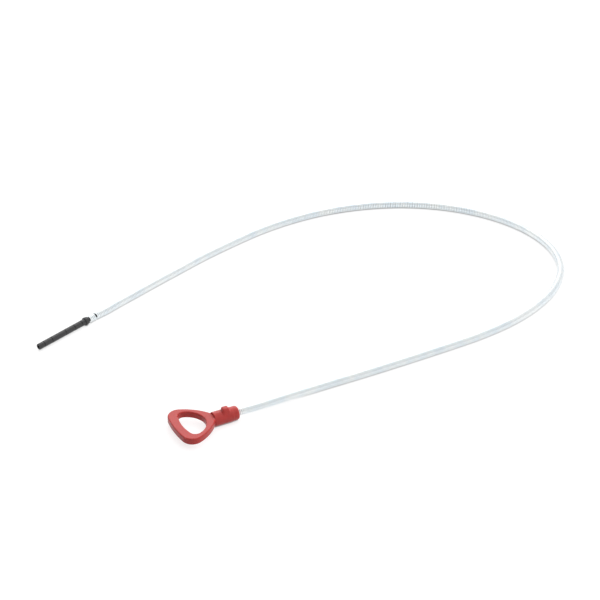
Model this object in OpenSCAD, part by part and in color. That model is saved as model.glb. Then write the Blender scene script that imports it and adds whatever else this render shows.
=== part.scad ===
// Flexible transmission dipstick: a red ring handle with a stopper barrel, a close-wound
// steel coil about 1.1 m long and a black measuring tip. It lies on a surface as it would
// come to rest, with +X along the barrel, towards the coil, and the surface at z = 0.

/* [Barrel] */
// Diameter of the stopper barrel
barrel_d = 14.5; // [12:0.1:18]
// Length of the barrel, from the ring grip's side to the nose's front face
barrel_len = 26.2; // [24:0.1:34]
// Bevel round the barrel's edge at the ring grip
barrel_edge = 0.4; // [0.1:0.1:1]
// Diameter of the nose, the pilot that enters the filler tube
nose_d = 14; // [11.6:0.1:14.4]
// Length of the nose
nose_len = 7; // [4.6:0.1:8]
// Rounding of the nose's front edge
nose_edge = 2.4; // [0.5:0.1:3]

/* [Lug] */
// Length of the rounded lug on top of the barrel
lug_len = 6.3; // [5:0.1:9]
// Width of the lug
lug_w = 5.6; // [4:0.1:7]
// Height of the lug above the barrel
lug_h = 3; // [1.5:0.1:4]
// Rounding of the lug's corners and top edges
lug_edge = 1.1; // [0.5:0.1:1.5]
// Distance from the nose's front face to the lug's middle
lug_back = 13.4; // [12:0.1:14]

/* [Ring grip] */
// Length of the ring grip, from its rounded point in the barrel to its two far corners
grip_len = 42; // [39:0.5:60]
// Width of the ring grip
grip_w = 52.1; // [46:0.1:64]
// Thickness of the ring grip
grip_t = 7; // [5:0.1:8.5]
// Radius of the grip's two far corners
grip_corner_r = 11.1; // [10:0.1:15]
// Radius of the grip's rounded point
grip_point_r = 8; // [7:0.1:11]
// How far each flank of the grip bulges out
grip_flank_bulge = 2.2; // [0.5:0.1:4]
// How far the grip's far side bulges out between its corners
grip_far_bulge = 1.2; // [0.5:0.1:4]
// Length of the rounded point that reaches into the barrel
grip_over = 2.5; // [1.5:0.1:4]
// Height of the grip's middle plane above the barrel's axis
grip_up = 0.9; // [0:0.1:1.2]
// Rounding of the grip's outer and inner edges
grip_edge = 1.2; // [0.3:0.1:2]

/* [Finger opening] */
// Rim between the opening and the grip's rounded point
rim_point = 11.2; // [8:0.1:14]
// Rim at the middle of the far side
rim_far = 8.8; // [6:0.1:11]
// Rim beside the opening, at its widest place
rim_side = 7.4; // [5:0.1:9]
// Radius of the opening's two far corners
hole_corner_r = 6; // [4:0.1:8]
// Radius of the opening's point
hole_point_r = 6.3; // [3:0.1:8]
// How far each flank of the opening bulges out
hole_flank_bulge = 2.2; // [0.5:0.1:3]
// How far the opening's far side bulges out between its corners
hole_far_bulge = 1.8; // [0.5:0.1:3]

/* [Coil] */
// Outer diameter of the close-wound coil
coil_d = 8; // [5:0.1:10]
// Diameter of the coil's wire, which is also its pitch
wire_d = 1.9; // [1:0.1:2]
// Depth of the coil's end in the barrel
anchor_len = 18; // [10:0.5:20]
// Clearance round the coil's end in the barrel
anchor_gap = 0.05; // [0.02:0.01:0.3]

/* [Measuring tip] */
// Diameter of the measuring rod
rod_d = 6.3; // [4.5:0.1:7]
// Length of the measuring rod, from its far end to the bead
rod_len = 61.8; // [59:0.1:80]
// Bevel round the rod's far end
rod_edge = 0.5; // [0.1:0.1:0.8]
// Diameter of the bead between the rod and the collar
bead_d = 8.4; // [8:0.1:10]
// Length of the bead
bead_len = 2.8; // [2:0.1:4]
// Rounding of the bead's two edges
bead_edge = 0.9; // [0.2:0.1:0.9]
// Widest diameter of the domed collar that the coil butts against
collar_d = 7.6; // [6.8:0.1:7.8]
// Length of the collar
collar_len = 2.8; // [2.2:0.1:5]
// Rounding of the collar towards the coil
collar_edge = 1.7; // [0.5:0.1:1.9]
// Length of the spigot inside the coil's end
spigot_len = 10; // [4:0.5:14]
// Clearance between the spigot and the inside of the coil
spigot_gap = 0.15; // [0.1:0.01:0.4]
// Diameter of the moulded recess in the rod's far end
recess_d = 3.2; // [2:0.1:3.6]
// Depth of the recess
recess_depth = 5; // [2:0.5:8]

/* [Level marks] */
// Width of the level marks, the grooves round the rod
mark_w = 0.9; // [0.5:0.1:1.4]
// Depth of the level marks
mark_depth = 0.35; // [0.1:0.05:0.5]
// Distance from the rod's far end to the first mark
mark_1 = 6.6; // [5.5:0.1:9]
// Distance to the second mark, the low level
mark_2 = 17; // [12:0.1:22]
// Distance to the third mark, in the middle of the range
mark_3 = 35.3; // [26:0.1:40]
// Distance to the fourth mark, the high level
mark_4 = 47.3; // [43:0.1:50]
// Distance to the fifth mark, just below the bead
mark_5 = 57.1; // [53:0.1:57.2]

/* [Hidden] */
$fn = 96;

barrel_r = barrel_d / 2;
nose_r = nose_d / 2;
coil_r = coil_d / 2;
coil_in_r = coil_r - wire_d;
rod_r = rod_d / 2;
bead_r = bead_d / 2;
marks = [mark_1, mark_2, mark_3, mark_4, mark_5];

// How far a cutter reaches past the face that it opens
past = 1;
// Facets of the round shapes that a hull joins
hull_facets = 32;
// Steps along each arc of the ring grip's outlines and over each of its rounded edges
arc_steps = 12;
edge_steps = 3;

// Place of the nose's front face, where the coil leaves the handle
exit_x = 63.5;
exit_y = -98.5;

// The coil's route: x, y, then the shares of the barrel's and of the bead's extra height
// at which its centre lies there
route = [
    [exit_x - anchor_len, exit_y, 1, 0], [exit_x, exit_y, 1, 0], [83, -98, 0.77, 0],
    [103, -96.8, 0.57, 0], [123, -95.3, 0.37, 0], [143, -94.1, 0.13, 0], [163, -93.4, 0.01, 0],
    [183, -93.3, 0, 0], [223, -92.9, 0, 0], [263, -91.8, 0, 0], [303, -90.3, 0, 0],
    [343, -87.6, 0, 0], [382.5, -80.9, 0, 0], [420, -68.2, 0, 0], [453.8, -48.5, 0, 0],
    [481, -18.6, 0, 0], [494, 19.2, 0, 0], [492.1, 59.1, 0, 0], [477.9, 97.2, 0, 0],
    [454.8, 130.3, 0, 0], [425.7, 157.2, 0, 0], [391, 178.1, 0, 0], [353.6, 191.9, 0, 0],
    [314, 199.3, 0, 0], [274, 200.2, 0, 0], [235, 195.7, 0, 0], [196.1, 186.5, 0, 0],
    [157.5, 175.5, 0, 0], [119.5, 162.3, 0, 0], [81.5, 148.8, 0, 0], [62.6, 141.8, 0, 0.01],
    [43.5, 134.9, 0, 0.2], [22.8, 126.9, 0, 0.45], [8, 122.3, 0, 1], [0.5, 119.6, 0, 1]
];
coil_sides = 10;
ring_pitch = 3 * coil_d;

stops = [
    for (p = route)
        [p[0], p[1], coil_r + p[2] * (barrel_r - coil_r) + p[3] * (bead_r - coil_r)]
];
last_stop = len(stops) - 1;

// A smooth curve through the stops: on each span a cubic that has their headings
function span(i) = norm(stops[i + 1] - stops[i]);
function chord(i) = (stops[i + 1] - stops[i]) / span(i);
function heading(i) =
    i == 0 ? chord(0) :
    i == last_stop ? chord(i - 1) :
    (span(i) * chord(i - 1) + span(i - 1) * chord(i)) / (span(i - 1) + span(i));
function on_span(i, t) =
    (2 * pow(t, 3) - 3 * pow(t, 2) + 1) * stops[i]
    + (3 * pow(t, 2) - 2 * pow(t, 3)) * stops[i + 1]
    + (pow(t, 3) - 2 * pow(t, 2) + t) * span(i) * heading(i)
    + (pow(t, 3) - pow(t, 2)) * span(i) * heading(i + 1);
function steps(i) = max(1, round(span(i) / ring_pitch));
centre = concat(
    [for (i = [0 : last_stop - 1]) for (k = [0 : steps(i) - 1]) on_span(i, k / steps(i))],
    [stops[last_stop]]
);
last_ring = len(centre) - 1;

// Rings of points round the curve, each square to it
function along(i) =
    let (way = centre[min(i + 1, last_ring)] - centre[max(i - 1, 0)])
    way / norm(way);
function sideways(i) = cross(along(i), [0, 0, 1]) / norm(cross(along(i), [0, 0, 1]));
function ring(i, r) =
    let (side = sideways(i), up = cross(side, along(i)))
    [
        for (k = [0 : coil_sides - 1])
            let (turn = 360 * k / coil_sides)
            centre[i] + r * (sin(turn) * side - cos(turn) * up)
    ];
tip_yaw = atan2(along(last_ring)[1], along(last_ring)[0]);

// A triangle of three round corners with its point at x = 0 and its far side towards -X, as
// the corners' centres and radii, counter-clockwise from the point
function corners(length, width, corner_r, point_r) = [
    [-point_r, 0, point_r],
    [corner_r - length, width / 2 - corner_r, corner_r],
    [corner_r - length, corner_r - width / 2, corner_r]
];

// Centre and radius of the side that bulges out between two round corners and touches both
function side_arc(a, b, bulge) =
    let (
        way = [b[0] - a[0], b[1] - a[1]],
        d = norm(way),
        r = d * d / (8 * bulge) + max(a[2], b[2]),
        u = (pow(r - a[2], 2) - pow(r - b[2], 2) + d * d) / (2 * d),
        v = sqrt(pow(r - a[2], 2) - u * u)
    )
    [a[0] + (u * way[0] - v * way[1]) / d, a[1] + (u * way[1] + v * way[0]) / d, r];

// The outline's six arcs, side and corner in turn: centre, radius and the directions from the
// centre to the arc's two ends
function bearing(from, to) = atan2(to[1] - from[1], to[0] - from[0]);
function arcs(round_corners, bulges) =
    let (
        sides = [for (i = [0 : 2]) side_arc(round_corners[i], round_corners[(i + 1) % 3], bulges[i])]
    )
    [
        for (i = [0 : 2])
            let (
                a = round_corners[i],
                b = round_corners[(i + 1) % 3],
                first = bearing(sides[i], a),
                middle = bearing(sides[i], b),
                last = bearing(sides[(i + 1) % 3], b)
            )
            each [concat(sides[i], [first, middle]), concat(b, [middle, last])]
    ];

// The outline's points, with every radius larger by grow
function outline(arcs, grow) = [
    for (a = arcs)
        for (k = [0 : arc_steps - 1])
            let (turn = a[3] + (a[4] - a[3] + 720) % 360 * k / arc_steps)
            [a[0] + (a[2] + grow) * cos(turn), a[1] + (a[2] + grow) * sin(turn)]
];

// A solid through one outline at several levels, each its height and how far it grows there
module loft(arcs, levels) {
    rows = [for (level = levels) outline(arcs, level[1])];
    n = len(rows[0]);
    top = len(rows) - 1;
    function at(i, k) = i * n + k % n;
    walls = [
        for (i = [0 : top - 1]) for (k = [0 : n - 1])
            [at(i, k), at(i + 1, k), at(i + 1, k + 1), at(i, k + 1)]
    ];
    polyhedron(
        [for (i = [0 : top]) for (p = rows[i]) [p[0], p[1], levels[i][0]]],
        concat(
            walls,
            [[for (k = [0 : n - 1]) at(0, k)]],
            [[for (k = [n - 1 : -1 : 0]) at(top, k)]]
        )
    );
}

// Levels of the ring grip from its lower to its upper face: height, and how far the rounded
// edge draws back there
edge_levels = [
    for (face = [-1, 1])
        for (k = [0 : edge_steps])
            let (lean = 90 * (face > 0 ? k : edge_steps - k) / edge_steps)
            [
                face * (grip_t / 2 - grip_edge + grip_edge * sin(lean)),
                grip_edge * (1 - cos(lean))
            ]
];

module finger_opening() {
    length = grip_len + grip_far_bulge - rim_far - hole_far_bulge - rim_point;
    width = grip_w - 2 * rim_side;
    end = grip_t / 2 + past;
    loft(
        arcs(
            corners(length, width, hole_corner_r, hole_point_r),
            [hole_flank_bulge, hole_far_bulge, hole_flank_bulge]
        ),
        concat([[-end, grip_edge]], edge_levels, [[end, grip_edge]])
    );
}

module ring_grip() {
    difference() {
        loft(
            arcs(
                corners(grip_len, grip_w, grip_corner_r, grip_point_r),
                [grip_flank_bulge, grip_far_bulge, grip_flank_bulge]
            ),
            [for (level = edge_levels) [level[0], -level[1]]]
        );
        translate([-rim_point, 0, 0]) finger_opening();
    }
}

// The barrel and its nose, along +X up to the front face at x = 0
module barrel() {
    main_len = barrel_len - nose_len;
    translate([-barrel_len, 0, 0])
        rotate([0, 90, 0])
            rotate_extrude() {
                polygon([
                    [0, 0], [barrel_r - barrel_edge, 0], [barrel_r, barrel_edge],
                    [barrel_r, main_len], [0, main_len]
                ]);
                square([nose_r, barrel_len - nose_edge]);
                square([nose_r - nose_edge, barrel_len]);
                translate([nose_r - nose_edge, barrel_len - nose_edge])
                    intersection() {
                        circle(nose_edge);
                        square(nose_edge);
                    }
            }
}

module lug() {
    x = lug_len / 2 - lug_edge;
    y = lug_w / 2 - lug_edge;
    root = barrel_r / 2;
    top = barrel_r + lug_h - lug_edge;
    translate([-lug_back, 0, 0])
        hull()
            for (dx = [-x, x], dy = [-y, y])
                translate([dx, dy, 0]) {
                    translate([0, 0, root])
                        cylinder(h = top - root, r = lug_edge, $fn = hull_facets);
                    translate([0, 0, top]) sphere(lug_edge, $fn = hull_facets);
                }
}

module coil_bore() {
    translate([-anchor_len, 0, 0])
        rotate([0, 90, 0])
            cylinder(h = anchor_len + past, r = coil_r + anchor_gap);
}

module handle() {
    color("#c2352f")
        translate([exit_x, exit_y, barrel_r])
            difference() {
                union() {
                    barrel();
                    lug();
                    translate([grip_over - barrel_len, 0, grip_up]) ring_grip();
                }
                coil_bore();
            }
}

module coil() {
    n = coil_sides;
    outer = [for (i = [0 : last_ring]) each ring(i, coil_r)];
    inner = [for (i = [0 : last_ring]) each ring(i, coil_in_r)];
    first_inner = len(outer);
    function at(i, k) = i * n + k % n;
    walls = [
        for (i = [0 : last_ring - 1]) for (k = [0 : n - 1])
            [at(i, k), at(i, k + 1), at(i + 1, k + 1), at(i + 1, k)]
    ];
    inside = [
        for (face = walls) [for (k = [3 : -1 : 0]) first_inner + face[k]]
    ];
    near_end = [
        for (k = [0 : n - 1])
            [at(0, k), first_inner + at(0, k), first_inner + at(0, k + 1), at(0, k + 1)]
    ];
    far_end = [
        for (k = [0 : n - 1])
            let (a = at(last_ring, k), b = at(last_ring, k + 1))
            [a, b, first_inner + b, first_inner + a]
    ];
    color("#cfd6da")
        polyhedron(concat(outer, inner), concat(walls, inside, near_end, far_end));
}

// Half of the collar's section, domed towards the coil, which it meets at y = 0
module collar_section() {
    dome_r = collar_d / 2 - collar_edge;
    square([dome_r, collar_len + past]);
    translate([0, collar_edge]) square([collar_d / 2, collar_len - collar_edge + past]);
    translate([dome_r, collar_edge])
        intersection() {
            circle(collar_edge);
            translate([0, -collar_edge]) square([collar_edge, 2 * collar_edge]);
        }
}

// Half of a round bead's section, from the axis outwards
module bead_section() {
    square([bead_r - bead_edge, bead_len]);
    translate([0, bead_edge]) square([bead_r, bead_len - 2 * bead_edge]);
    for (y = [bead_edge, bead_len - bead_edge])
        translate([bead_r - bead_edge, y]) circle(bead_edge);
}

// Half of the measuring rod's section, from the bead at y = 0 to its far end
module rod_section() {
    difference() {
        polygon([
            [0, 0], [rod_r, 0], [rod_r, rod_len - rod_edge], [rod_r - rod_edge, rod_len],
            [0, rod_len]
        ]);
        for (m = marks)
            translate([rod_r - mark_depth, rod_len - m - mark_w / 2])
                square([mark_depth + past, mark_w]);
        translate([0, rod_len - recess_depth]) square([recess_d / 2, recess_depth + past]);
    }
}

module tip() {
    color("#2b2c2e")
        translate(stops[last_stop])
            rotate([0, 90, tip_yaw])
                rotate_extrude() {
                    translate([0, -spigot_len])
                        square([coil_in_r * cos(180 / coil_sides) - spigot_gap, spigot_len + past]);
                    collar_section();
                    translate([0, collar_len]) bead_section();
                    translate([0, collar_len + bead_len]) rod_section();
                }
}

handle();
coil();
tip();
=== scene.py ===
"""A flexible transmission dipstick lying on a white table: a red ring handle, a long close-wound steel
coil that curves round to the right and back, and a black measuring tip with level marks."""

import math

import bpy
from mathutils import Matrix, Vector


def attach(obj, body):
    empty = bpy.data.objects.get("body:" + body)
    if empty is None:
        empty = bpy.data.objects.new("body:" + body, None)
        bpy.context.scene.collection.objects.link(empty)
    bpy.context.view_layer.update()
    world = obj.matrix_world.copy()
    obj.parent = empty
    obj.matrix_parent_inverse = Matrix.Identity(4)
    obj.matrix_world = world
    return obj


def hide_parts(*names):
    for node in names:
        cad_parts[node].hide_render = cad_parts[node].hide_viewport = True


MM = 0.001

# The handle's barrel and its nose
BARREL_D = 14.5 * MM
BARREL_LEN = 26.2 * MM
BARREL_EDGE = 0.4 * MM
NOSE_D = 14 * MM
NOSE_LEN = 7 * MM
NOSE_EDGE = 2.4 * MM
NOSE_FACE_X = 63.5 * MM
AXIS_Y = -98.5 * MM

# The blind bore in the nose that holds the coil's end
ANCHOR_LEN = 18 * MM
BORE_D = 8.1 * MM

# The lug on top of the barrel, how much its foot inside the barrel is longer and wider, and how far that
# is shifted so that the lug's near side runs out on the barrel
LUG_LEN = 6.3 * MM
LUG_W = 5.6 * MM
LUG_H = 3 * MM
LUG_EDGE = 1.4 * MM
LUG_BACK = 13.4 * MM
LUG_FOOT_GROWS = (1.5, 1.5, 1)
LUG_FOOT_SHIFT = 2.1 * MM

# The ring grip: a triangle with round corners and bulging sides, and the finger opening in it
GRIP_OUTLINE = {
    "length": 42 * MM, "width": 52.1 * MM, "corner_r": 11.1 * MM, "point_r": 8 * MM,
    "flank_bulge": 2.2 * MM, "far_bulge": 1.2 * MM,
}
OPENING_OUTLINE = {
    "length": 21.4 * MM, "width": 37.3 * MM, "corner_r": 6 * MM, "point_r": 6.3 * MM,
    "flank_bulge": 2.2 * MM, "far_bulge": 1.8 * MM,
}
RIM_POINT = 11.2 * MM
GRIP_T = 7 * MM
GRIP_EDGE = 1.2 * MM
GRIP_OVER = 2.5 * MM
GRIP_UP = 0.9 * MM

# The handle is one moulding: its parts are fused at this grain and smoothed, which rounds their joins,
# most round the lug
FUSE_GRAIN = 0.3 * MM
FUSE_SMOOTHING = 2
LUG_SMOOTHING = 30

# The coil, and its one open turn: how wide its gap is, the gap's distance from the tip, and where round
# the coil it is widest, as the angle from the top towards the right of the way to the tip
COIL_D = 8 * MM
WIRE_D = 1.9 * MM
POINTS_A_TURN = 14
OPEN_TURN_GAP = 1.7 * MM
OPEN_TURN_FROM_END = 9 * MM
OPEN_TURN_FACES = math.radians(-70)

# The measuring tip
ROD_D = 6.3 * MM
ROD_LEN = 61.8 * MM
ROD_EDGE = 0.5 * MM
BEAD_D = 8.4 * MM
BEAD_LEN = 2.8 * MM
BEAD_EDGE = 0.9 * MM
COLLAR_D = 7.6 * MM
COLLAR_LEN = 2.8 * MM
COLLAR_EDGE = 1.7 * MM
SPIGOT_GAP = 0.15 * MM
SPIGOT_LEN = 10 * MM
RECESS_D = 3.2 * MM
RECESS_DEPTH = 5 * MM

# The level marks: grooves, their distances from the rod's far end, and the painted shade, near black, on their
# floors
MARK_W = 0.9 * MM
MARK_DEPTH = 0.35 * MM
MARKS = (57.1 * MM, 47.3 * MM, 35.3 * MM, 17 * MM, 6.6 * MM)
GROOVE_SHADE = "#0a0a0b"

# Facets round a turned shape, steps over a rounding, and points along each arc of an outline
TURNED_SIDES = 72
ROUNDING_STEPS = 5
ARC_POINTS = 12

# The coil's route in mm: x, y, then the shares of the barrel's and of the bead's extra height
ROUTE = [
    (45.5, -98.5, 1, 0), (63.5, -98.5, 1, 0), (83, -98, 0.77, 0), (103, -96.8, 0.57, 0),
    (123, -95.3, 0.37, 0), (143, -94.1, 0.13, 0), (163, -93.4, 0.01, 0), (183, -93.3, 0, 0), (223, -92.9, 0, 0),
    (263, -91.8, 0, 0), (303, -90.3, 0, 0), (343, -87.6, 0, 0), (382.5, -80.9, 0, 0), (420, -68.2, 0, 0),
    (453.8, -48.5, 0, 0), (481, -18.6, 0, 0), (494, 19.2, 0, 0), (492.1, 59.1, 0, 0), (477.9, 97.2, 0, 0),
    (454.8, 130.3, 0, 0), (425.7, 157.2, 0, 0), (391, 178.1, 0, 0), (353.6, 191.9, 0, 0),
    (314, 199.3, 0, 0), (274, 200.2, 0, 0), (235, 195.7, 0, 0), (196.1, 186.5, 0, 0), (157.5, 175.5, 0, 0),
    (119.5, 162.3, 0, 0), (81.5, 148.8, 0, 0), (62.6, 141.8, 0, 0.01), (43.5, 134.9, 0, 0.2),
    (22.8, 126.9, 0, 0.45), (8, 122.3, 0, 1), (0.5, 119.6, 0, 1),
]

# The photograph's view: its focal length in its own pixels, the angle that it looks down, its heading
# from +Y towards +X, and the point on the table at its centre, seen from this far
PHOTO_PX = 600
FOCAL_PX = 2300
SENSOR = 36
LOOK_DOWN = 33
HEADING = 27.26
AIM = Vector((0.2120, 0.0593, 0))
AIM_DISTANCE = 2.3805

# The table: the grey of its bounce; for reflections, how bright its lit part is and the share that is
# plain white; for the camera, the same two, and how near the dipstick has to be for the painted contact
# shadow that darkens the white
TABLE_BOUNCE = "#d4d4d4"
MIRRORED = 1.2
MIRRORED_GLOW = 0.55
PAPER = 1.6
GLOW_SHARE = 0.77
CONTACT_REACH = 1.3 * MM

# The studio that the metal mirrors is white but for a grey band round it, by the sine of its height:
# where the band starts, where it is full, where it starts to end and where it ends. It is open behind
# the dipstick, as the camera sees it
BAND = (0.3, 0.42, 0.62, 0.74)
BAND_LEVEL = 0.76
STUDIO_LEVEL = 1.05
OPEN_FROM = -0.2
OPEN_FULLY = 0.3

# The light that falls on the dipstick is strongest from behind it on the right, as the camera sees it:
# how far that is turned from the camera's heading, its height in degrees and its strength. It fades to
# nothing where the cosine of the angle to it falls to the last value
KEY_TURN = 54
KEY_HEIGHT = 50
STRONG_LIGHT = 1.95
DARK_FROM = -0.1

# One broad soft lamp behind the dipstick, which its upper faces mirror
LAMP_PLACE = (0.58, 1.16, 1.01)
LAMP_SIZE = 1.6
LAMP_POWER = 7.5


def linear(hex_colour):
    """The linear red, green, blue and alpha of an sRGB hex colour."""
    parts = [int(hex_colour[i:i + 2], 16) / 255 for i in (1, 3, 5)]
    return [c / 12.92 if c <= 0.04045 else ((c + 0.055) / 1.055) ** 2.4 for c in parts] + [1]


def add_node(tree, kind, settings=None, **links):
    """Adds a node. Settings are its properties or its sockets' values, and links are socket to output."""
    node = tree.nodes.new(kind)
    for name, value in (settings or {}).items():
        if name in node.inputs:
            node.inputs[name].default_value = value
        else:
            setattr(node, name, value)
    for name, output in links.items():
        tree.links.new(node.inputs[name.replace("_", " ")], output)
    return node


def new_material(name):
    """An empty node material and its tree."""
    material = bpy.data.materials.new(name)
    material.use_nodes = True
    material.node_tree.nodes.clear()
    return material, material.node_tree


def deselect_all():
    bpy.ops.object.select_all(action="DESELECT")


def apply_place(piece):
    """Puts a piece's place, turn and scale into its mesh."""
    deselect_all()
    piece.select_set(True)
    bpy.context.view_layer.objects.active = piece
    bpy.ops.object.transform_apply(location=True, rotation=True, scale=True)


def apply_modifier(piece, kind, **settings):
    """Adds a modifier with its settings and applies it."""
    deselect_all()
    piece.select_set(True)
    bpy.context.view_layer.objects.active = piece
    bpy.ops.object.modifier_add(type=kind)
    modifier = piece.modifiers[-1]
    for name, value in settings.items():
        setattr(modifier, name, value)
    bpy.ops.object.modifier_apply(modifier=modifier.name)


def rounding(x, r, edge, start, end):
    """Stations over a rounding of radius edge with its middle at (x, r), from angle to angle off +X."""
    angles = [math.radians(start + (end - start) * k / ROUNDING_STEPS) for k in range(ROUNDING_STEPS + 1)]
    return [(x + edge * math.cos(a), r + edge * math.sin(a)) for a in angles]


def turned(name, stations):
    """A closed turned solid along +X: a disc that is extruded and resized from station to station, each
    a place along X and a radius."""
    x, r = stations[0]
    deselect_all()
    bpy.ops.mesh.primitive_circle_add(
        vertices=TURNED_SIDES, radius=r, fill_type="NGON", location=(x, 0, 0), rotation=(0, math.pi / 2, 0)
    )
    piece = bpy.context.object
    piece.name = name
    apply_place(piece)
    bpy.ops.object.mode_set(mode="EDIT")
    bpy.ops.mesh.select_all(action="SELECT")
    for next_x, next_r in stations[1:]:
        bpy.ops.mesh.extrude_region_move(TRANSFORM_OT_translate={"value": (next_x - x, 0, 0)})
        bpy.ops.transform.resize(value=(1, next_r / r, next_r / r), center_override=(next_x, 0, 0))
        x, r = next_x, next_r
    bpy.ops.mesh.select_all(action="SELECT")
    bpy.ops.mesh.normals_make_consistent(inside=False)
    bpy.ops.object.mode_set(mode="OBJECT")
    return piece


def outline_arcs(length, width, corner_r, point_r, flank_bulge, far_bulge):
    """The arcs of a triangle with round corners and bulging sides, counter-clockwise, its point at
    x = 0 and its far side towards -X: each arc's middle, radius, first direction and sweep."""
    corners = [
        (Vector((-point_r, 0)), point_r),
        (Vector((corner_r - length, width / 2 - corner_r)), corner_r),
        (Vector((corner_r - length, corner_r - width / 2)), corner_r),
    ]
    sides = []
    for i, bulge in enumerate((flank_bulge, far_bulge, flank_bulge)):
        (a, a_r), (b, b_r) = corners[i], corners[(i + 1) % 3]
        span = (b - a).length
        along = (b - a) / span
        r = span * span / (8 * bulge) + max(a_r, b_r)
        u = ((r - a_r) ** 2 - (r - b_r) ** 2 + span * span) / (2 * span)
        v = math.sqrt((r - a_r) ** 2 - u * u)
        sides.append((a + u * along + v * Vector((-along.y, along.x)), r))
    arcs = []
    for i, (middle, r) in enumerate(sides):
        corner, corner_radius = corners[(i + 1) % 3]
        after = sides[(i + 1) % 3][0]
        first = direction(corners[i][0] - middle)
        joint = direction(corner - middle)
        last = direction(corner - after)
        arcs.append((middle, r, first, (joint - first) % (2 * math.pi)))
        arcs.append((corner, corner_radius, joint, (last - joint) % (2 * math.pi)))
    return arcs


def direction(way):
    return math.atan2(way.y, way.x)


def add_outline(curve, arcs, start_x):
    """Adds an outline to a flat curve, with one Bezier point at each joint of two arcs."""
    spline = curve.splines.new("BEZIER")
    spline.bezier_points.add(len(arcs) - 1)
    spline.use_cyclic_u = True
    for i, point in enumerate(spline.bezier_points):
        middle, r, first, sweep = arcs[i]
        before_r, before_sweep = arcs[i - 1][1], arcs[i - 1][3]
        out = Vector((math.cos(first), math.sin(first)))
        ahead = Vector((-out.y, out.x))
        place = middle + r * out + Vector((start_x, 0))
        point.handle_left_type = point.handle_right_type = "FREE"
        point.co = place.to_3d()
        point.handle_right = (place + ahead * r * 4 / 3 * math.tan(sweep / 4)).to_3d()
        point.handle_left = (place - ahead * before_r * 4 / 3 * math.tan(before_sweep / 4)).to_3d()


def shape_grip():
    """The ring grip: a flat outline with the finger opening, given its thickness and round edges."""
    curve = bpy.data.curves.new("ring_grip", "CURVE")
    curve.dimensions = "2D"
    curve.fill_mode = "BOTH"
    curve.resolution_u = ARC_POINTS
    curve.extrude = GRIP_T / 2 - GRIP_EDGE
    curve.bevel_depth = GRIP_EDGE
    curve.bevel_resolution = ROUNDING_STEPS
    curve.offset = -GRIP_EDGE
    add_outline(curve, outline_arcs(**GRIP_OUTLINE), 0)
    add_outline(curve, outline_arcs(**OPENING_OUTLINE), -RIM_POINT)
    grip = bpy.data.objects.new("ring_grip", curve)
    bpy.context.scene.collection.objects.link(grip)
    deselect_all()
    grip.select_set(True)
    bpy.context.view_layer.objects.active = grip
    bpy.ops.object.convert(target="MESH")
    grip = bpy.context.object
    bpy.ops.object.mode_set(mode="EDIT")
    bpy.ops.mesh.select_all(action="SELECT")
    bpy.ops.mesh.remove_doubles(threshold=0.01 * MM)
    bpy.ops.mesh.normals_make_consistent(inside=False)
    bpy.ops.object.mode_set(mode="OBJECT")
    grip.location = (GRIP_OVER - BARREL_LEN, 0, GRIP_UP)
    apply_place(grip)
    return grip


def shape_barrel():
    """The barrel and its nose, turned, with the coil's blind bore in the front face at x = 0."""
    barrel_r, nose_r = BARREL_D / 2, NOSE_D / 2
    return turned("barrel", [
        *rounding(BARREL_EDGE - BARREL_LEN, barrel_r - BARREL_EDGE, BARREL_EDGE, 180, 90),
        (-NOSE_LEN, barrel_r),
        (-NOSE_LEN, nose_r),
        *rounding(-NOSE_EDGE, nose_r - NOSE_EDGE, NOSE_EDGE, 90, 0),
        (0, BORE_D / 2),
        (-ANCHOR_LEN, BORE_D / 2),
    ])


def shape_lug():
    """The lug on the barrel: a block whose foot is wider and whose upper edges are rounded."""
    foot, top = BARREL_D / 4, BARREL_D / 2 + LUG_H
    deselect_all()
    bpy.ops.mesh.primitive_cube_add(
        size=1, location=(-LUG_BACK, 0, (foot + top) / 2), scale=(LUG_LEN, LUG_W, top - foot)
    )
    lug = bpy.context.object
    apply_place(lug)
    bpy.ops.object.mode_set(mode="EDIT")
    bpy.ops.mesh.select_mode(type="FACE")
    select_faces(lug, lambda face: face.normal.z < -0.5)
    bpy.ops.transform.resize(value=LUG_FOOT_GROWS, center_override=(-LUG_BACK, 0, foot))
    bpy.ops.transform.translate(value=(0, -LUG_FOOT_SHIFT, 0))
    select_faces(lug, lambda face: face.normal.z > -0.5)
    bpy.ops.mesh.bevel(offset=LUG_EDGE, segments=ROUNDING_STEPS, affect="EDGES")
    bpy.ops.object.mode_set(mode="OBJECT")
    return lug


def select_faces(piece, is_wanted):
    """In edit mode, selects the faces for which a test holds."""
    bpy.ops.mesh.select_all(action="DESELECT")
    bpy.ops.object.mode_set(mode="OBJECT")
    for face in piece.data.polygons:
        face.select = is_wanted(face)
    bpy.ops.object.mode_set(mode="EDIT")


def mould_handle():
    """The red handle, one moulding: grip, barrel and lug fused, with small fillets where they join."""
    parts = [shape_grip(), shape_barrel(), shape_lug()]
    deselect_all()
    for part in parts:
        part.select_set(True)
    handle = parts[0]
    bpy.context.view_layer.objects.active = handle
    bpy.ops.object.join()
    handle.name = "ring_handle"
    apply_modifier(handle, "REMESH", mode="VOXEL", voxel_size=FUSE_GRAIN)
    apply_modifier(handle, "SMOOTH", factor=0.5, iterations=FUSE_SMOOTHING)
    round_lug = handle.vertex_groups.new(name="round_lug")
    near = [
        point.index for point in handle.data.vertices
        if abs(point.co.x + LUG_BACK) < LUG_LEN and point.co.z > BARREL_D / 8 and point.co.y < 0
    ]
    round_lug.add(near, 1, "REPLACE")
    apply_modifier(handle, "SMOOTH", factor=0.5, iterations=LUG_SMOOTHING, vertex_group="round_lug")
    handle.location = (NOSE_FACE_X, AXIS_Y, BARREL_D / 2)
    apply_place(handle)
    bpy.ops.object.shade_smooth()
    return handle


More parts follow.
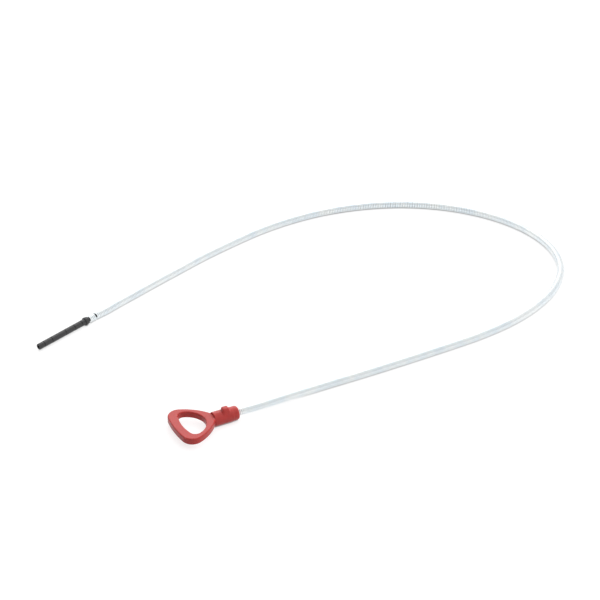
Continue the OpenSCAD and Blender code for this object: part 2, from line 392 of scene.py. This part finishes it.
def mark_groove(x):
    """Stations over a level mark whose middle is at x: a shallow groove with slanting walls."""
    rod_r = ROD_D / 2
    slant = MARK_W / 4
    return [
        (x - MARK_W / 2, rod_r),
        (x - MARK_W / 2 + slant, rod_r - MARK_DEPTH),
        (x + MARK_W / 2 - slant, rod_r - MARK_DEPTH),
        (x + MARK_W / 2, rod_r),
    ]


def darken_grooves(tip, end_x):
    """Gives the turned tip's points their share of painted shade: all of it on a groove's floor."""
    shares = tip.data.attributes.new("painted_groove_shade", "FLOAT", "POINT")
    for point, share in zip(tip.data.vertices, shares.data):
        r = math.hypot(point.co.y, point.co.z)
        is_floor = abs(r - ROD_D / 2 + MARK_DEPTH) < MARK_DEPTH / 10
        share.value = 1 if is_floor and point.co.x < end_x - ROD_EDGE else 0


def mould_tip(line):
    """The black measuring tip, turned: spigot, domed collar, bead, and the rod with its grooves and the
    recess in its far end."""
    bead_x = COLLAR_LEN
    rod_x = bead_x + BEAD_LEN
    end_x = rod_x + ROD_LEN
    collar_r, bead_r, rod_r = COLLAR_D / 2, BEAD_D / 2, ROD_D / 2
    spigot_r = COIL_D / 2 - WIRE_D - SPIGOT_GAP
    grooves = [station for mark in MARKS for station in mark_groove(end_x - mark)]
    tip = turned("measuring_tip", [
        (-SPIGOT_LEN, spigot_r),
        (0, spigot_r),
        *rounding(COLLAR_EDGE, collar_r - COLLAR_EDGE, COLLAR_EDGE, 180, 90),
        (bead_x, collar_r),
        *rounding(bead_x + BEAD_EDGE, bead_r - BEAD_EDGE, BEAD_EDGE, 180, 90),
        *rounding(rod_x - BEAD_EDGE, bead_r - BEAD_EDGE, BEAD_EDGE, 90, 0),
        (rod_x, rod_r),
        *grooves,
        *rounding(end_x - ROD_EDGE, rod_r - ROD_EDGE, ROD_EDGE, 90, 0),
        (end_x, RECESS_D / 2),
        (end_x - RECESS_DEPTH, RECESS_D / 2),
    ])
    darken_grooves(tip, end_x)
    end, before = line.points[-1], line.points[-2]
    tip.location = end
    tip.rotation_euler.z = direction(end - before)
    apply_place(tip)
    bpy.ops.object.shade_smooth_by_angle(angle=math.radians(35))
    return tip


def coil_stops():
    """The route's points in metres, each with its height."""
    coil_r, barrel_r, bead_r = COIL_D / 2, BARREL_D / 2, BEAD_D / 2
    return [
        Vector((x * MM, y * MM, coil_r + barrel * (barrel_r - coil_r) + bead * (bead_r - coil_r)))
        for x, y, barrel, bead in ROUTE
    ]


def smooth_line(stops, step):
    """Points about one step apart on the curve through the stops, a cubic on each span."""
    spans = [(b - a).length for a, b in zip(stops, stops[1:])]
    chords = [(b - a).normalized() for a, b in zip(stops, stops[1:])]
    headings = [chords[0]]
    for i in range(1, len(stops) - 1):
        mix = spans[i] * chords[i - 1] + spans[i - 1] * chords[i]
        headings.append(mix / (spans[i - 1] + spans[i]))
    headings.append(chords[-1])
    line = []
    for i, span in enumerate(spans):
        count = max(1, round(span / step))
        for t in (k / count for k in range(count)):
            line.append(
                (2 * t**3 - 3 * t**2 + 1) * stops[i] + (3 * t**2 - 2 * t**3) * stops[i + 1]
                + (t**3 - 2 * t**2 + t) * span * headings[i] + (t**3 - t**2) * span * headings[i + 1]
            )
    return line + [stops[-1]]


class Centreline:
    """A line that gives its point and its heading at any length along it."""

    def __init__(self, points):
        self.points = points
        self.lengths = [0]
        for a, b in zip(points, points[1:]):
            self.lengths.append(self.lengths[-1] + (b - a).length)
        self.length = self.lengths[-1]
        self.span = 0

    def at(self, s):
        while self.span < len(self.points) - 2 and self.lengths[self.span + 1] < s:
            self.span += 1
        i = self.span
        share = (s - self.lengths[i]) / (self.lengths[i + 1] - self.lengths[i])
        before = self.points[max(i - 1, 0)]
        after = self.points[min(i + 2, len(self.points) - 1)]
        return self.points[i].lerp(self.points[i + 1], share), (after - before).normalized()


def wire_points(line):
    """The middle of the coil's wire, turn after close turn, with one turn open near the tip."""
    winding_r = (COIL_D - WIRE_D) / 2
    step = WIRE_D / POINTS_A_TURN
    opens = round((line.length - OPEN_TURN_FROM_END - WIRE_D - OPEN_TURN_GAP / 2) / step)
    points = []
    s = WIRE_D / 2
    k = 0
    while s <= line.length - WIRE_D / 2:
        centre, along = line.at(s)
        side = along.cross(Vector((0, 0, 1))).normalized()
        up = side.cross(along)
        turn = 2 * math.pi * (k - opens) / POINTS_A_TURN + OPEN_TURN_FACES
        points.append(centre + winding_r * (math.cos(turn) * up + math.sin(turn) * side))
        is_open = opens <= k < opens + POINTS_A_TURN
        s += step + (OPEN_TURN_GAP / POINTS_A_TURN if is_open else 0)
        k += 1
    return points


def wind_coil(line):
    """The close-wound coil, as one round wire that follows the route."""
    points = wire_points(line)
    data = bpy.data.curves.new("coil_wire", "CURVE")
    data.dimensions = "3D"
    data.bevel_depth = WIRE_D / 2
    data.bevel_resolution = 1
    data.use_fill_caps = True
    spline = data.splines.new("POLY")
    spline.points.add(len(points) - 1)
    for point, place in zip(spline.points, points):
        point.co = (*place, 1)
    wire = bpy.data.objects.new("coil_wire", data)
    bpy.context.scene.collection.objects.link(wire)
    deselect_all()
    wire.select_set(True)
    bpy.context.view_layer.objects.active = wire
    bpy.ops.object.convert(target="MESH")
    bpy.ops.object.shade_smooth()
    return bpy.context.object


def zinc_plated_wire():
    """Bright zinc-plated spring wire, drawn: pale and cool, with clear reflections that blur a little
    from place to place."""
    material, tree = new_material("zinc_plated_wire")
    place = add_node(tree, "ShaderNodeTexCoord")
    clouds = add_node(
        tree, "ShaderNodeTexNoise", {"Scale": 1 / (12 * MM), "Detail": 3}, Vector=place.outputs["Object"]
    )
    tint = add_node(tree, "ShaderNodeValToRGB", Fac=clouds.outputs["Fac"])
    tint.color_ramp.elements[0].position, tint.color_ramp.elements[0].color = 0.35, linear("#e9f0f4")
    tint.color_ramp.elements[1].position, tint.color_ramp.elements[1].color = 0.65, linear("#f3f6f6")
    blur = add_node(
        tree, "ShaderNodeMapRange", {"To Min": 0.08, "To Max": 0.2}, Value=clouds.outputs["Fac"]
    )
    shader = add_node(
        tree, "ShaderNodeBsdfPrincipled", {"Metallic": 1},
        Base_Color=tint.outputs["Color"], Roughness=blur.outputs["Result"],
    )
    add_node(tree, "ShaderNodeOutputMaterial", Surface=shader.outputs["BSDF"])
    return material


def moulded_nylon(name, dark, light, roughness, gloss_level, grain_depth):
    """Filled nylon from a spark-eroded mould: one deep colour with faint clouds, a satin gloss, and a
    fine grain, about 0.5 mm across, drawn as coarse as it needs to show."""
    material, tree = new_material(name)
    place = add_node(tree, "ShaderNodeTexCoord")
    clouds = add_node(
        tree, "ShaderNodeTexNoise", {"Scale": 1 / (6 * MM), "Detail": 2}, Vector=place.outputs["Object"]
    )
    tint = add_node(tree, "ShaderNodeValToRGB", Fac=clouds.outputs["Fac"])
    tint.color_ramp.elements[0].position, tint.color_ramp.elements[0].color = 0.35, linear(dark)
    tint.color_ramp.elements[1].position, tint.color_ramp.elements[1].color = 0.65, linear(light)
    gloss = add_node(
        tree, "ShaderNodeMapRange", {"To Min": roughness - 0.06, "To Max": roughness + 0.06},
        Value=clouds.outputs["Fac"],
    )
    grain = add_node(
        tree, "ShaderNodeTexNoise", {"Scale": 1 / (0.5 * MM), "Detail": 1}, Vector=place.outputs["Object"]
    )
    bump = add_node(
        tree, "ShaderNodeBump", {"Strength": 0.5, "Distance": grain_depth}, Height=grain.outputs["Fac"]
    )
    # Painted shade on the tip's groove floors, mixed over the nylon's own colour
    groove_shade_share = add_node(tree, "ShaderNodeAttribute", {"attribute_name": "painted_groove_shade"})
    colour = add_node(
        tree, "ShaderNodeMixRGB", {"Color2": linear(GROOVE_SHADE)}, Fac=groove_shade_share.outputs["Fac"], Color1=tint.outputs["Color"]
    )
    shader = add_node(
        tree, "ShaderNodeBsdfPrincipled", {"IOR": 1.53, "Specular IOR Level": gloss_level},
        Base_Color=colour.outputs["Color"], Roughness=gloss.outputs["Result"], Normal=bump.outputs["Normal"],
    )
    add_node(tree, "ShaderNodeOutputMaterial", Surface=shader.outputs["BSDF"])
    return material


def white_table():
    """A white table. The camera sees it white with soft shadows, partly from the lit paper and partly a
    painted contact shadow near the dipstick; the metal mirrors it bright, and what it throws back on the
    dipstick is that of a paler grey."""
    material, tree = new_material("white_table")
    light_path = add_node(tree, "ShaderNodeLightPath")
    bounce = add_node(tree, "ShaderNodeBsdfDiffuse", {"Color": linear(TABLE_BOUNCE)})
    matt = add_node(tree, "ShaderNodeBsdfDiffuse", {"Color": (MIRRORED, MIRRORED, MIRRORED, 1)})
    white = add_node(tree, "ShaderNodeEmission", {"Color": linear("#ffffff"), "Strength": 1})
    mirrored = add_node(tree, "ShaderNodeMixShader", {"Fac": MIRRORED_GLOW})
    tree.links.new(mirrored.inputs[1], matt.outputs["BSDF"])
    tree.links.new(mirrored.inputs[2], white.outputs["Emission"])
    lit = add_node(tree, "ShaderNodeMixShader", Fac=light_path.outputs["Is Glossy Ray"])
    tree.links.new(lit.inputs[1], bounce.outputs["BSDF"])
    tree.links.new(lit.inputs[2], mirrored.outputs["Shader"])
    paper = add_node(tree, "ShaderNodeBsdfDiffuse", {"Color": (PAPER, PAPER, PAPER, 1)})
    # Painted contact shadow: ambient occlusion darkens the camera's white glow where the dipstick is near
    painted_contact_shadow = add_node(tree, "ShaderNodeAmbientOcclusion", {"Distance": CONTACT_REACH})
    glow = add_node(tree, "ShaderNodeEmission", {"Strength": 1}, Color=painted_contact_shadow.outputs["Color"])
    seen = add_node(tree, "ShaderNodeMixShader", {"Fac": GLOW_SHARE})
    tree.links.new(seen.inputs[1], paper.outputs["BSDF"])
    tree.links.new(seen.inputs[2], glow.outputs["Emission"])
    table = add_node(tree, "ShaderNodeMixShader", Fac=light_path.outputs["Is Camera Ray"])
    tree.links.new(table.inputs[1], lit.outputs["Shader"])
    tree.links.new(table.inputs[2], seen.outputs["Shader"])
    add_node(tree, "ShaderNodeOutputMaterial", Surface=table.outputs["Shader"])
    return material


def add_table():
    """The table that the dipstick lies on."""
    deselect_all()
    bpy.ops.mesh.primitive_plane_add(size=8, location=(AIM.x, AIM.y, 0))
    table = bpy.context.object
    table.name = "table"
    table.data.materials.append(white_table())


def add_world():
    """A white studio, lit from above. The metal mirrors a grey band in it, as a darker line along the
    coil."""
    world = bpy.data.worlds.new("studio")
    bpy.context.scene.world = world
    world.use_nodes = True
    tree = world.node_tree
    tree.nodes.clear()
    place = add_node(tree, "ShaderNodeTexCoord")
    height = add_node(tree, "ShaderNodeSeparateXYZ", Vector=place.outputs["Generated"])
    band = add_node(tree, "ShaderNodeValToRGB", Fac=height.outputs["Z"])
    white = (STUDIO_LEVEL, STUDIO_LEVEL, STUDIO_LEVEL, 1)
    for stop in band.color_ramp.elements:
        stop.color = white
    band.color_ramp.elements[0].position = BAND[0]
    band.color_ramp.elements[1].position = BAND[3]
    for position in BAND[1:3]:
        band.color_ramp.elements.new(position).color = (BAND_LEVEL, BAND_LEVEL, BAND_LEVEL, 1)
    heading = math.radians(HEADING)
    ahead = add_node(tree, "ShaderNodeVectorMath", {"operation": "DOT_PRODUCT"})
    tree.links.new(ahead.inputs[0], place.outputs["Generated"])
    ahead.inputs[1].default_value = (math.sin(heading), math.cos(heading), 0)
    opening = add_node(
        tree, "ShaderNodeMapRange", {"From Min": OPEN_FROM, "From Max": OPEN_FULLY},
        Value=ahead.outputs["Value"],
    )
    colour = add_node(
        tree, "ShaderNodeMixRGB", {"Color2": white},
        Fac=opening.outputs["Result"], Color1=band.outputs["Color"],
    )
    mirrored = add_node(tree, "ShaderNodeBackground", Color=colour.outputs["Color"])
    turn, rise = math.radians(HEADING + KEY_TURN), math.radians(KEY_HEIGHT)
    towards_key = add_node(tree, "ShaderNodeVectorMath", {"operation": "DOT_PRODUCT"})
    tree.links.new(towards_key.inputs[0], place.outputs["Generated"])
    towards_key.inputs[1].default_value = (
        math.sin(turn) * math.cos(rise), math.cos(turn) * math.cos(rise), math.sin(rise)
    )
    level = add_node(
        tree, "ShaderNodeMapRange", {"From Min": DARK_FROM, "To Min": 0, "To Max": STRONG_LIGHT},
        Value=towards_key.outputs["Value"],
    )
    light = add_node(tree, "ShaderNodeBackground", Strength=level.outputs["Result"])
    light_path = add_node(tree, "ShaderNodeLightPath")
    is_seen = add_node(
        tree, "ShaderNodeMath", {"operation": "ADD", "use_clamp": True}
    )
    tree.links.new(is_seen.inputs[0], light_path.outputs["Is Camera Ray"])
    tree.links.new(is_seen.inputs[1], light_path.outputs["Is Glossy Ray"])
    studio = add_node(tree, "ShaderNodeMixShader", Fac=is_seen.outputs["Value"])
    tree.links.new(studio.inputs[1], light.outputs["Background"])
    tree.links.new(studio.inputs[2], mirrored.outputs["Background"])
    add_node(tree, "ShaderNodeOutputWorld", Surface=studio.outputs["Shader"])


def add_lamp():
    """The broad soft lamp."""
    bpy.ops.object.light_add(type="AREA", location=LAMP_PLACE)
    lamp = bpy.context.object
    lamp.data.shape = "DISK"
    lamp.data.size = LAMP_SIZE
    lamp.data.energy = LAMP_POWER
    lamp.rotation_euler = (AIM - Vector(LAMP_PLACE)).to_track_quat("-Z", "Y").to_euler()


def add_camera():
    """The photograph's view."""
    heading, down = math.radians(HEADING), math.radians(LOOK_DOWN)
    ahead = Vector((math.sin(heading) * math.cos(down), math.cos(heading) * math.cos(down), -math.sin(down)))
    bpy.ops.object.camera_add(
        location=AIM - AIM_DISTANCE * ahead, rotation=(math.pi / 2 - down, 0, -heading)
    )
    camera = bpy.context.object
    camera.data.sensor_width = SENSOR
    camera.data.lens = FOCAL_PX / PHOTO_PX * SENSOR
    camera.data.clip_end = 20
    bpy.context.scene.camera = camera


def dress(piece, material, node):
    """Gives a piece its material and puts it in the place of a CAD node on the one body."""
    piece.data.materials.clear()
    piece.data.materials.append(material)
    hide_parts(node)
    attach(piece, "root")


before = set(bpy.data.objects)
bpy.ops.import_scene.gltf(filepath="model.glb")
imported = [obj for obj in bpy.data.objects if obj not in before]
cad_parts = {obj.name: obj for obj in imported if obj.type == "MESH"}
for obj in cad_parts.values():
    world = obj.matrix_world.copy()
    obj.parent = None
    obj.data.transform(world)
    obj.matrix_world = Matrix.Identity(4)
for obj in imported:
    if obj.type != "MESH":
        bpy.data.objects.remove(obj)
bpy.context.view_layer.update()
bpy.context.scene.view_settings.view_transform = "Standard"

add_camera()
centreline = Centreline(smooth_line(coil_stops(), 0.5 * MM))
coil = wind_coil(centreline)
handle = mould_handle()
tip = mould_tip(centreline)
dress(coil, zinc_plated_wire(), "coil")
dress(handle, moulded_nylon("moulded_red_nylon", "#be322d", "#c63833", 0.33, 0.4, 0.03 * MM), "handle")
dress(tip, moulded_nylon("moulded_black_nylon", "#272729", "#2e2e30", 0.42, 0.55, 0.03 * MM), "tip")
add_table()
add_world()
add_lamp()
